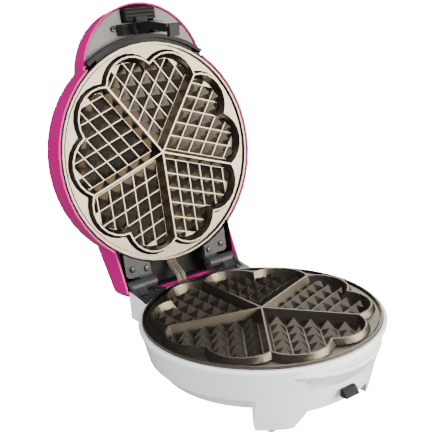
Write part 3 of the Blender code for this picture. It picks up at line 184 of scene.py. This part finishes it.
CARD_DISTANCE = 1.3
upper_low, upper_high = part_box("upper_plate")
upper_centre = (upper_low + upper_high) / 2
upper_normal = Vector((0, -math.sin(lid_swing), -math.cos(lid_swing)))
upper_card = upper_centre + CARD_DISTANCE * mirrored(upper_centre, upper_normal)
lower_card = plate_centre + CARD_DISTANCE * mirrored(plate_centre, Vector((0, 0, 1)))
lamp("upper_card", upper_card, upper_centre, (0.80, 0.70), 40, (1.0, 0.93, 0.80))
lamp("lower_card", lower_card, plate_centre, (0.90, 0.70), 9, (1.0, 0.97, 0.92))
lamp("top_card", (-0.5, -0.2, 1.6), plate_centre, (0.9, 0.9), 7)
lamp("left_softbox", (-1.5, -0.7, 0.65), (0, 0, 0.08), (0.9, 0.9), 42, (0.96, 0.98, 1.0), False)
lamp("front_softbox", (0.5, -1.7, 0.6), (0, 0, 0.05), (1.1, 0.6), 34, mirrored_too=False)
lamp("top_softbox", (-0.35, 0.25, 1.7), (0, 0, 0.05), (0.9, 0.7), 10, mirrored_too=False)

AMBIENT = 0.10
world = bpy.data.worlds.new("studio")
bpy.context.scene.world = world
world.use_nodes = True
world.node_tree.nodes["Background"].inputs["Color"].default_value = (0.93, 0.96, 1.0, 1)
world.node_tree.nodes["Background"].inputs["Strength"].default_value = AMBIENT
print("upper card at", [round(v, 2) for v in upper_card], "lower card at", [round(v, 2) for v in lower_card])

# %% [markdown]
# ## Shared effects
#
# Real surfaces are never one even colour. Five effects turn up in many finishes here, so each is a node group
# with named inputs: a fine grain for bump, a cloudy variation for colour and gloss, a mask along edges that is
# part wear and part painted edge highlight, the tiny speckles of a sprayed coating, and the crossing strands of a
# woven sleeve. Each group only puts out masks and heights, and the shader itself stays in each material.

# %% Effect groups
def effect(name, inputs, outputs):
    """An empty node group with a vector input, named number inputs and named number outputs."""
    tree = bpy.data.node_groups.new(name, "ShaderNodeTree")
    tree.interface.new_socket("Vector", in_out="INPUT", socket_type="NodeSocketVector")
    for socket, value in inputs.items():
        made = tree.interface.new_socket(socket, in_out="INPUT", socket_type="NodeSocketFloat")
        made.default_value = value
    for socket in outputs:
        tree.interface.new_socket(socket, in_out="OUTPUT", socket_type="NodeSocketFloat")
    return tree, tree.nodes.new("NodeGroupInput"), tree.nodes.new("NodeGroupOutput")


def ramp_between(tree, source, low, high, to_low=0.0, to_high=1.0):
    """The source value remapped from low..high, and held at its ends."""
    node = add_node(tree, "ShaderNodeMapRange", {"Value": source})
    node.inputs["From Min"].default_value = low
    node.inputs["From Max"].default_value = high
    node.inputs["To Min"].default_value = to_low
    node.inputs["To Max"].default_value = to_high
    return node.outputs["Result"]


def noise_of(tree, given, scale_socket, detail, roughness=0.5):
    node = add_node(tree, "ShaderNodeTexNoise", {
        "Vector": given.outputs["Vector"],
        "Scale": given.outputs[scale_socket],
    })
    node.inputs["Detail"].default_value = detail
    node.inputs["Roughness"].default_value = roughness
    return node.outputs["Fac"]


grain, given, out = effect("fine_grain", {"Scale": 900.0}, ["Height"])
grain.links.new(noise_of(grain, given, "Scale", 3.0), out.inputs["Height"])

clouds, given, out = effect("cloudy_variation", {"Scale": 14.0}, ["Mask"])
soft_noise = noise_of(clouds, given, "Scale", 5.0, 0.6)
clouds.links.new(ramp_between(clouds, soft_noise, 0.32, 0.68), out.inputs["Mask"])

# %% Worn edges and painted edge highlights
edges, given, out = effect("edge_wear_and_highlight", {"Breakup": 120.0}, ["Mask"])
rounded = add_node(edges, "ShaderNodeBevel", samples=4, Radius=0.0006)
surface = edges.nodes.new("ShaderNodeNewGeometry")
facing = add_node(edges, "ShaderNodeVectorMath", operation="DOT_PRODUCT")
edges.links.new(rounded.outputs["Normal"], facing.inputs[0])
edges.links.new(surface.outputs["Normal"], facing.inputs[1])
# The mask is where the rounded normal turns away from the face: paler edges there are part wear, part painted
# highlight.
turned_away = ramp_between(edges, facing.outputs["Value"], 0.995, 0.90)
broken = ramp_between(edges, noise_of(edges, given, "Breakup", 2.0), 0.35, 0.60, 0.35, 1.0)
wear_and_highlight = add_node(edges, "ShaderNodeMath", {0: turned_away, 1: broken}, operation="MULTIPLY")
edges.links.new(wear_and_highlight.outputs["Value"], out.inputs["Mask"])

# %% Speckles and strands
speckle, given, out = effect("sprayed_speckle", {"Scale": 1500.0, "Amount": 0.2}, ["Mask"])
cells = add_node(speckle, "ShaderNodeTexVoronoi", {
    "Vector": given.outputs["Vector"],
    "Scale": given.outputs["Scale"],
})
dots = add_node(
    speckle,
    "ShaderNodeMath",
    {0: cells.outputs["Distance"], 1: given.outputs["Amount"]},
    operation="LESS_THAN",
)
speckle.links.new(dots.outputs["Value"], out.inputs["Mask"])

strands, given, out = effect("woven_strands", {"Scale": 260.0}, ["Height"])
heights = []
for slant in (-1, 1):
    tilt = add_node(strands, "ShaderNodeVectorRotate", {"Vector": given.outputs["Vector"]})
    tilt.rotation_type = "X_AXIS"
    tilt.inputs["Angle"].default_value = slant * math.radians(40)
    wave = add_node(strands, "ShaderNodeTexWave", {
        "Vector": tilt.outputs["Vector"],
        "Scale": given.outputs["Scale"],
    })
    wave.bands_direction = "Z"
    heights.append(wave.outputs["Fac"])
over = add_node(strands, "ShaderNodeMath", {0: heights[0], 1: heights[1]}, operation="MAXIMUM")
strands.links.new(over.outputs["Value"], out.inputs["Height"])
print("effects:", [group.name for group in bpy.data.node_groups])

# %% [markdown]
# ## Finishes
#
# Each finish starts from one function that lays down the shared structure: a base colour that drifts a little
# between two tones, gloss that drifts with it, a fine bump, and where it suits, paler edges that are part wear and
# part painted highlight. The differences between plastic, coating and metal are then only values, and anything
# special is added after.

# %% A finish
PLAIN_SPECULAR = 0.5
BUMP_DEPTH = 0.0004
COAT_ROUGHNESS = 0.08


def finish(name, tones, gloss, metallic=0.0, grain_scale=900.0, bump=0.05, drift=14.0, edge=None, coat=0.0,
           speckles=None, relief=None, specular=PLAIN_SPECULAR):
    """tones: two colours; gloss: lowest and highest roughness; edge: a paler colour for wear and painted edge
    highlights; speckles: a colour and an amount.
    """
    mat = bpy.data.materials.new(name)
    mat.use_nodes = True
    tree = mat.node_tree
    shader = tree.nodes["Principled BSDF"]
    where = tree.nodes.new("ShaderNodeTexCoord").outputs["Object"]

    def placed(group, **values):
        node = add_node(tree, "ShaderNodeGroup", node_tree=group)
        tree.links.new(where, node.inputs["Vector"])
        for socket, value in values.items():
            node.inputs[socket].default_value = value
        return node.outputs[0]

    def blended(below, colour, mask):
        mix = add_node(tree, "ShaderNodeMix", {"Factor": mask}, data_type="RGBA")
        if below is not None:
            tree.links.new(below, mix.inputs[6])
        mix.inputs[7].default_value = (*colour, 1)
        return mix

    drifting = placed(clouds, Scale=drift)
    tone = blended(None, tones[1], drifting)
    tone.inputs[6].default_value = (*tones[0], 1)
    current = tone.outputs[2]
    if speckles:
        current = blended(current, speckles[0], placed(speckle, Amount=speckles[1])).outputs[2]
    # Paler edges: part wear, part painted edge highlight.
    if edge:
        current = blended(current, edge, placed(edges)).outputs[2]
    tree.links.new(current, shader.inputs["Base Color"])
    tree.links.new(ramp_between(tree, drifting, 0, 1, *gloss), shader.inputs["Roughness"])
    height = placed(relief or grain, Scale=grain_scale)
    bumps = add_node(tree, "ShaderNodeBump", {"Height": height}, Strength=bump)
    bumps.inputs["Distance"].default_value = BUMP_DEPTH
    tree.links.new(bumps.outputs["Normal"], shader.inputs["Normal"])
    shader.inputs["Metallic"].default_value = metallic
    shader.inputs["Coat Weight"].default_value = coat
    shader.inputs["Coat Roughness"].default_value = COAT_ROUGHNESS
    shader.inputs["Specular IOR Level"].default_value = specular
    return mat


# %% The palette of plastics
white = finish("white_shell", ((0.80, 0.825, 0.85), (0.83, 0.85, 0.87)), (0.24, 0.32), bump=0.03, coat=0.15)
magenta = finish("magenta_gloss", ((0.42, 0.0, 0.15), (0.45, 0.0, 0.16)), (0.20, 0.27), bump=0.02, coat=0.04,
                 specular=0.08)
# The paler edge colour is part wear, part painted edge highlight.
black = finish("black_plastic", ((0.006, 0.006, 0.007), (0.010, 0.010, 0.011)), (0.30, 0.40), grain_scale=2200,
               bump=0.15, edge=(0.022, 0.022, 0.024), specular=0.09)
# A near-black matte finish that paints shade: in the screw recesses and on the sheets in the lid's hollows.
painted_shade_black = finish("painted_shade_black", ((0.003, 0.003, 0.003), (0.005, 0.005, 0.005)), (0.65, 0.75), bump=0.1)
soft_rubber = finish("foot_rubber", ((0.02, 0.02, 0.02), (0.03, 0.03, 0.03)), (0.70, 0.82), bump=0.2)
red_lens = finish("red_lens", ((0.50, 0.012, 0.010), (0.56, 0.016, 0.014)), (0.05, 0.10), bump=0.0, coat=1.0)
green_lens = finish("green_lens", ((0.02, 0.34, 0.06), (0.03, 0.40, 0.08)), (0.05, 0.10), bump=0.0, coat=1.0)

# %% The palette of metals, coatings and ceramics
# Each edge colour below is paler than its body: part wear, part painted edge highlight.
grey = finish("lobe_grey", ((0.135, 0.135, 0.128), (0.160, 0.160, 0.150)), (0.38, 0.48), grain_scale=1600, bump=0.10,
              edge=(0.30, 0.30, 0.29), speckles=((0.27, 0.27, 0.26), 0.12), specular=0.22)
hinge_paint = finish("hinge_paint", ((0.024, 0.026, 0.028), (0.034, 0.036, 0.038)), (0.36, 0.46), metallic=0.20,
                     grain_scale=1800, bump=0.12, edge=(0.11, 0.11, 0.11), specular=0.22)
# On the coating, the pale edge colour paints highlights along the rims and wall tops of the hearts, with some wear.
coating, worn_coating = [
    finish(name, ((0.125, 0.109, 0.088), (0.145, 0.128, 0.105)), gloss, metallic=0.97, grain_scale=2600, bump=0.04,
           drift=22, edge=(0.30, 0.27, 0.22), speckles=((0.17, 0.15, 0.12), 0.10))
    for name, gloss in (("nonstick_upper", (0.25, 0.27)), ("nonstick_lower", (0.40, 0.44)))
]
steel = finish("plain_steel", ((0.50, 0.50, 0.50), (0.58, 0.58, 0.57)), (0.22, 0.34), metallic=1.0, bump=0.06)
# The screw heads' pale edge colour paints a highlight around the rim.
screw_metal = finish("dark_screws", ((0.10, 0.098, 0.095), (0.14, 0.135, 0.13)), (0.22, 0.34), metallic=1.0,
                     bump=0.08, edge=(0.42, 0.41, 0.39))
sheet_metal = finish("bright_sheet", ((0.74, 0.74, 0.75), (0.80, 0.80, 0.81)), (0.18, 0.30), metallic=1.0)
steatite = finish("white_ceramic", ((0.72, 0.68, 0.60), (0.78, 0.74, 0.66)), (0.45, 0.60), bump=0.12)
sleeve = finish("glass_sleeve", ((0.26, 0.22, 0.17), (0.34, 0.29, 0.23)), (0.32, 0.44), metallic=0.4,
                grain_scale=260, bump=0.6, relief=strands)
print("finishes:", len(bpy.data.materials))

# %% [markdown]
# ## From a working part to a finished piece
#
# The frame's solids have sharp edges and flat facets. A moulded, cast or pressed part has none: its edges are
# rounded and its curves run smoothly. A copy of the solid is merged, its coplanar triangles are joined into clean
# faces, and a bevel rounds the edges that are sharper than a set angle. Weighted normals then keep the flats flat.

# %% Finished copies
MERGE_DISTANCE = 0.000001
FLAT_ANGLE = math.radians(0.5)


def soften(obj, width, segments=2, angle=30):
    bevel = obj.modifiers.new("rounded_edges", "BEVEL")
    bevel.width = width
    bevel.segments = segments
    bevel.limit_method = "ANGLE"
    bevel.angle_limit = math.radians(angle)
    bevel.miter_outer = "MITER_SHARP"
    bevel.use_clamp_overlap = True
    normals = obj.modifiers.new("even_normals", "WEIGHTED_NORMAL")
    normals.keep_sharp = True
    for face in obj.data.polygons:
        face.use_smooth = True
    return obj


def settle(obj, finish_of, body, slot, *nodes):
    """Gives a piece its finish and its body, and hides the parts of the frame that it stands for."""
    obj.data.materials.clear()
    obj.data.materials.append(finish_of)
    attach(obj, body)
    if nodes:
        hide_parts(*nodes)
    return obj


def finished_copy(node, name, finish_of, body, slot, width=0.0004, segments=2, angle=30):
    bm = bmesh.new()
    bm.from_mesh(frame["nodes"][node].data)
    bmesh.ops.remove_doubles(bm, verts=bm.verts, dist=MERGE_DISTANCE)
    bmesh.ops.dissolve_limit(bm, angle_limit=FLAT_ANGLE, verts=bm.verts, edges=bm.edges)
    mesh = bpy.data.meshes.new(name)
    bm.to_mesh(mesh)
    bm.free()
    obj = link(bpy.data.objects.new(name, mesh))
    soften(obj, width, segments, angle)
    return settle(obj, finish_of, body, slot, node)


body_of = {node: body for body, group in frame["record"]["behaviour"]["bodies"].items() for node in group}
plan = {
    "base_shell": ("base_casing", white, "white_shell", 0.0009),
    "lid_shell": ("lid_casing", magenta, "magenta_shell", 0.0006),
    "lower_plate": ("lower_waffle_plate", worn_coating, "nonstick", 0.00035),
    "upper_plate": ("upper_waffle_plate", coating, "nonstick", 0.00035),
    "lid_liner": ("lid_frame", black, "black_plastic", 0.0002),
    "lobe_plate": ("lobe_cover", grey, "grey_plate", 0.0003),
    "latch_lever": ("latch_arm", black, "black_plastic", 0.0006),
    "latch_bracket": ("latch_saddle", black, "black_plastic", 0.0004),
    "front_catch": ("catch_block", black, "black_plastic", 0.0006),
    "hinge_leaf_left": ("leaf_left", hinge_paint, "hinge_metal", 0.0003),
    "hinge_leaf_right": ("leaf_right", hinge_paint, "hinge_metal", 0.0003),
    "hinge_bracket_left": ("bracket_left", hinge_paint, "hinge_metal", 0.0004),
    "hinge_bracket_right": ("bracket_right", hinge_paint, "hinge_metal", 0.0004),
    "bottom_cover": ("base_cover", white, "white_shell", 0.0004),
    "cord_gland": ("cord_inlet", black, "black_plastic", 0.0004),
    "power_lamp": ("power_lens", red_lens, "red_lens", 0.0010),
    "ready_lamp": ("ready_lens", green_lens, "green_lens", 0.0010),
}
for side in ("left", "right"):
    plan[f"hinge_pin_{side}"] = (f"pin_{side}", steel, "steel", 0.0004)
for corner in ("front_left", "front_right", "rear_left", "rear_right"):
    plan[f"foot_{corner}"] = (f"pad_{corner}", soft_rubber, "rubber", 0.0003)
for node, (name, finish_of, slot, width) in plan.items():
    piece = finished_copy(node, name, finish_of, body_of[node], slot, width)
    print(name, len(piece.data.polygons), "faces")

# %% Finishes for the parts that keep their own shape
slot_finish = {
    "steel": steel,
    "aluminium": sheet_metal,
    "ceramic": steatite,
}
for part in frame["record"]["subparts"]:
    node = frame["nodes"][part["node"]]
    if part["material_slot"] in slot_finish:
        node.data.materials.clear()
        node.data.materials.append(slot_finish[part["material_slot"]])

# %% [markdown]
# ## Painted shade inside the lid
#
# The lid is moulded in magenta. Two hollows inside it lie in shade, and near-black sheets paint that shade: one
# lines the tail, with only a thin magenta lip left at the rear edge, and one is a well behind the window that the
# latch's grip moves in. Both are drawn with the lid shut, where they are simple: an outline seen from above is
# extruded upwards, cut off by a sloping roof if it has one, and left open where it is looked into. Solidify gives
# the sheet its thickness, after the whole has been swung open with the lid.

# %% Swinging shut shapes open
swing_open = (
    Matrix.Translation(hinge)
    @ Matrix.Rotation(-lid_swing, 4, "X")
    @ Matrix.Translation(-hinge)
    @ Matrix.Translation(plate_centre)
)
hinge_reach = hinge.y - plate_centre.y
SHEET = 0.0004
FACING_AWAY = -0.9


def dark_sheet(name, plan_points, low, height, open_front=False, roof=None):
    """An open near-black shell that paints the shade in a hollow of the lid: a plan of (x, y) points raised from low
    by height. roof: two points of a sloping roof, from the rear to the front."""
    bm = bmesh.new()
    mouth = bm.faces.new([bm.verts.new((x, y, low)) for x, y in plan_points])
    raised = bmesh.ops.extrude_face_region(bm, geom=[mouth])["geom"]
    top_verts = [item for item in raised if isinstance(item, bmesh.types.BMVert)]
    bmesh.ops.translate(bm, vec=(0, 0, height), verts=top_verts)
    if roof:
        slope = roof[1] - roof[0]
        upward = Vector((0, slope.z, -slope.y)).normalized()
        everything = bm.verts[:] + bm.edges[:] + bm.faces[:]
        cut_edges = bmesh.ops.bisect_plane(
            bm, geom=everything, plane_co=roof[0], plane_no=upward, clear_outer=True
        )
        rim = [edge for edge in cut_edges["geom_cut"] if isinstance(edge, bmesh.types.BMEdge)]
        bmesh.ops.holes_fill(bm, edges=rim, sides=0)
    bmesh.ops.recalc_face_normals(bm, faces=bm.faces)
    openings = [face for face in bm.faces if face.normal.z < FACING_AWAY]
    if open_front:
        openings += [face for face in bm.faces if face.normal.y < FACING_AWAY]
    bmesh.ops.delete(bm, geom=openings, context="FACES")
    bmesh.ops.transform(bm, matrix=swing_open, verts=bm.verts)
    mesh = bpy.data.meshes.new(name)
    bm.to_mesh(mesh)
    bm.free()
    obj = link(bpy.data.objects.new(name, mesh))
    sheet = obj.modifiers.new("sheet", "SOLIDIFY")
    sheet.thickness = SHEET
    sheet.offset = 0
    print(name, len(mesh.polygons), "faces")
    return settle(obj, painted_shade_black, "lid", "black_plastic")


# %% The tail's sheet of painted shade
TAIL_SHADE_HALF = 0.0688
TAIL_SHADE_GAP = 0.0023
TAIL_SHADE_LOW = 0.0006
TAIL_SHADE_HEIGHT = 0.05
TAIL_SHADE_CORNER = (0.0058, 0.0062)
TAIL_SHADE_START = 0.024
TAIL_REACH = 0.0090
TAIL_REAR_TOP = 0.0160
TAIL_FRONT_TOP = 0.0388
rear = hinge_reach + TAIL_REACH - TAIL_SHADE_GAP
front = plate_radius - TAIL_SHADE_START
half_plan = [
    (TAIL_SHADE_HALF - TAIL_SHADE_CORNER[0], rear),
    (TAIL_SHADE_HALF, rear - TAIL_SHADE_CORNER[1]),
    (TAIL_SHADE_HALF, front),
]
mirrored_plan = [(-x, y) for x, y in reversed(half_plan)]
tail_roof = [
    Vector((0, rear, TAIL_REAR_TOP - TAIL_SHADE_GAP / 2)),
    Vector((0, front, TAIL_FRONT_TOP - TAIL_SHADE_GAP)),
]
# A near-black sheet paints the shade inside the tail.
dark_sheet("tail_shade_lining", mirrored_plan + half_plan, TAIL_SHADE_LOW, TAIL_SHADE_HEIGHT, open_front=True, roof=tail_roof)

# %% The latch's well of painted shade
WELL_HALF = 0.0225
WELL_LOW = 0.0127
WELL_TOP = 0.0270
WELL_BACK = -0.1265
LOBE_MIDDLE = -0.0790
WELL_RADIUS = 0.0672
WELL_STEPS = 8
half_turn = math.asin(WELL_HALF / WELL_RADIUS)
turns = [half_turn * (2 * step / WELL_STEPS - 1) for step in range(WELL_STEPS + 1)]
well_plan = [(WELL_RADIUS * math.sin(turn), LOBE_MIDDLE - WELL_RADIUS * math.cos(turn)) for turn in turns]
well_plan += [(WELL_HALF, WELL_BACK), (-WELL_HALF, WELL_BACK)]
# A near-black well paints the shade behind the latch's window.
dark_sheet("latch_well_shade", well_plan, WELL_LOW, WELL_TOP - WELL_LOW)

# %% [markdown]
# ## Screws
#
# All the screws are one shape: a low domed head with a cross recess, on a plain shank. Its outline is spun, the
# recess is cut by two tapered bars, and the recess gets a near-black finish that paints the shade inside it. A copy
# is then laid on each screw of the frame, along that screw's own axis.

# %% The screw
def evaluated(obj, name):
    """A new mesh with the object's modifiers worked in."""
    bpy.context.view_layer.update()
    mesh = bpy.data.meshes.new_from_object(obj.evaluated_get(bpy.context.evaluated_depsgraph_get()))
    mesh.name = name
    return mesh


HEAD = 0.00305
HEAD_HEIGHT = 0.00135
SHANK = 0.00138
SHANK_LENGTH = 0.0060
TIP_LENGTH = 0.0066
FULL_TURN_STEPS = 28
BAR_LENGTH = HEAD * 1.15
BAR_WIDTH = HEAD * 0.28
BAR_HEIGHT = 0.0020
BAR_TAPER = (0.5, 0.8, 1)
outline = [
    (0, -HEAD_HEIGHT),
    (HEAD * 0.45, -HEAD_HEIGHT * 0.94),
    (HEAD * 0.8, -HEAD_HEIGHT * 0.72),
    (HEAD * 0.97, -HEAD_HEIGHT * 0.36),
    (HEAD, -HEAD_HEIGHT * 0.1),
    (HEAD * 0.96, 0),
    (SHANK, 0),
    (SHANK, SHANK_LENGTH),
    (0, TIP_LENGTH),
]
bm = bmesh.new()
points = [bm.verts.new((x, 0, z)) for x, z in outline]
rim_edges = [bm.edges.new(pair) for pair in zip(points, points[1:])]
bmesh.ops.spin(
    bm,
    geom=points + rim_edges,
    cent=(0, 0, 0),
    axis=(0, 0, 1),
    angle=math.tau,
    steps=FULL_TURN_STEPS,
    use_merge=True,
)
bmesh.ops.remove_doubles(bm, verts=bm.verts, dist=0.00001)
bmesh.ops.recalc_face_normals(bm, faces=bm.faces)
blank_mesh = bpy.data.meshes.new("screw_blank")
bm.to_mesh(blank_mesh)
bm.free()
bm = bmesh.new()
for turn in (0, math.pi / 2):
    bar = bmesh.ops.create_cube(bm, size=1.0)["verts"]
    bmesh.ops.scale(bm, vec=(BAR_LENGTH, BAR_WIDTH, BAR_HEIGHT), verts=bar)
    deep_end = [vert for vert in bar if vert.co.z > 0]
    bmesh.ops.scale(bm, vec=BAR_TAPER, verts=deep_end)
    bmesh.ops.rotate(bm, cent=(0, 0, 0), matrix=Matrix.Rotation(turn, 3, "Z"), verts=bar)
bmesh.ops.translate(bm, vec=(0, 0, -HEAD_HEIGHT), verts=bm.verts)
cross_mesh = bpy.data.meshes.new("cross")
bm.to_mesh(cross_mesh)
bm.free()
# The cross's faces, and with them the recess, get the near-black painted shade.
for mesh in (blank_mesh, cross_mesh):
    mesh.materials.append(screw_metal)
    mesh.materials.append(painted_shade_black)
for face in cross_mesh.polygons:
    face.material_index = 1
blank = link(bpy.data.objects.new("screw_blank", blank_mesh))
cross = link(bpy.data.objects.new("cross", cross_mesh))
recess = blank.modifiers.new("recess", "BOOLEAN")
recess.object = cross
recess.solver = "EXACT"
recess.use_self = True
screw_mesh = evaluated(blank, "cross_head_screw")
for helper in (blank, cross):
    bpy.data.objects.remove(helper)
print("screw", len(screw_mesh.polygons), "faces")

# %% A copy on each screw
TOP_FACE_DEPTH = 0.0001
lid_up = (swing_open.to_3x3() @ Vector((0, 0, 1))).normalized()
screw_nodes = [part["node"] for part in frame["record"]["subparts"] if part["material_slot"] == "screw_metal"]
for node in screw_nodes:
    body = body_of[node]
    if body == "lid":
        along = lid_up
    elif node.startswith("cover"):
        along = Vector((0, 0, 1))
    else:
        along = Vector((0, 0, -1))
    corners = [vert.co for vert in frame["nodes"][node].data.vertices]
    head_top = min(corner.dot(along) for corner in corners)
    ring = [corner for corner in corners if corner.dot(along) < head_top + TOP_FACE_DEPTH]
    middle = Vector([(min(axis) + max(axis)) / 2 for axis in zip(*ring)])
    own_mesh = screw_mesh.copy()
    turned = along.to_track_quat("Z", "Y").to_matrix().to_4x4()
    own_mesh.transform(Matrix.Translation(middle + along * HEAD_HEIGHT) @ turned)
    for face in own_mesh.polygons:
        face.use_smooth = True
    copy = link(bpy.data.objects.new(f"cross_{node}", own_mesh))
    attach(copy, body)
    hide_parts(node)
print("screws:", len(screw_nodes))

# %% [markdown]
# ## The leads between base and lid
#
# Two sleeved leads feed the lid's heating element, and both bend as the lid moves. Each is a rounder, finer copy
# of the frame's lead.

# %% The leads
LEAD_SUBDIVISIONS = 2
for word in ("left", "right"):
    node = f"lid_lead_{word}"
    source = link(bpy.data.objects.new(f"{node}_source", frame["nodes"][node].data.copy()))
    finer = source.modifiers.new("finer", "SUBSURF")
    finer.levels = LEAD_SUBDIVISIONS
    finer.render_levels = LEAD_SUBDIVISIONS
    lead_mesh = evaluated(source, f"sleeved_lead_{word}")
    bpy.data.objects.remove(source)
    lead_mesh.materials.clear()
    lead_mesh.materials.append(sleeve)
    for face in lead_mesh.polygons:
        face.use_smooth = True
    lead = link(bpy.data.objects.new(f"sleeved_lead_{word}", lead_mesh))
    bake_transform(lead)
    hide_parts(node)
    print(lead.name, len(lead_mesh.polygons), "faces")
